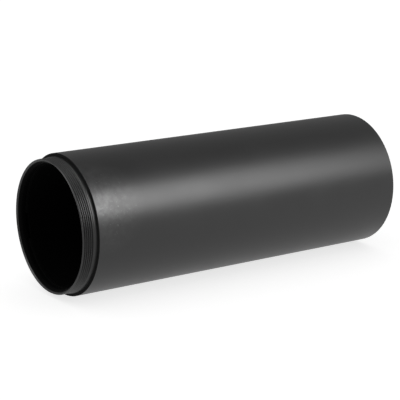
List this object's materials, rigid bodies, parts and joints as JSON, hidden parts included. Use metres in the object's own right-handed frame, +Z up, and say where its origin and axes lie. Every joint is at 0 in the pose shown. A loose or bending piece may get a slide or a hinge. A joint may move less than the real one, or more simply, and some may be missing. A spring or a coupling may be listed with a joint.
{
  "type": "barlow lens",
  "caption": "Plain black tube of a long Barlow lens lying on its side: fine male thread at its open mouth, baffled bore, and a screw-in cell with an air-spaced negative doublet at its sky end.",
  "frame": {"origin": "bottom centre of the lens as it lies on its side: on the barrel's lowest line, under the middle of its length", "axes": "+X along the optical axis towards the sky end, so the open eyepiece mouth is at -X; +Z up; +Y across"},
  "size_m": [0.1386, 0.0508, 0.0508],
  "materials": {
    "black_anodised_barrel": "satin black anodised, finely turned",
    "black_anodised_cell": "satin black anodised",
    "black_anodised_ring": "satin black anodised",
    "matt_black_baffle": "matt black paint",
    "black_flocking": "black flocked inside",
    "blackened_spring_steel": "blackened",
    "seal_rubber": "matt",
    "crown_glass": "polished, coated",
    "flint_glass": "polished, coated",
    "spacer_plastic": "matt",
    "cushion_plastic": "matt"
  },
  "bodies": {
    "barrel": {"barrel_tube": "black_anodised_barrel", "spring_clip": "blackened_spring_steel", "baffle_ring_1": "matt_black_baffle", "baffle_ring_2": "matt_black_baffle", "baffle_ring_3": "matt_black_baffle", "flocked_sleeve_1": "black_flocking", "flocked_sleeve_2": "black_flocking", "flocked_sleeve_3": "black_flocking", "flocked_sleeve_4": "black_flocking"},
    "seal_ring": {"cell_seal_ring": "seal_rubber"},
    "lens_cell": {"cell_housing": "black_anodised_cell", "crown_lens": "crown_glass", "flint_lens": "flint_glass", "lens_spacer": "spacer_plastic", "cushion_washer": "cushion_plastic", "retaining_ring": "black_anodised_ring"}
  },
  "joints": [
    {"name": "cell_travel", "type": "slide", "parent": "barrel", "child": "seal_ring", "axis": [1, 0, 0], "range_m": [0, 0.00455]},
    {"name": "cell_turn", "type": "hinge", "parent": "seal_ring", "child": "lens_cell", "pos_m": [0.058, 0, 0.0254], "axis": [1, 0, 0], "range_deg": [0, 2160]}
  ],
  "couplings": [
    {"joint": "cell_travel", "follows": "cell_turn", "m_per_rad": 0.00011937}
  ]
}
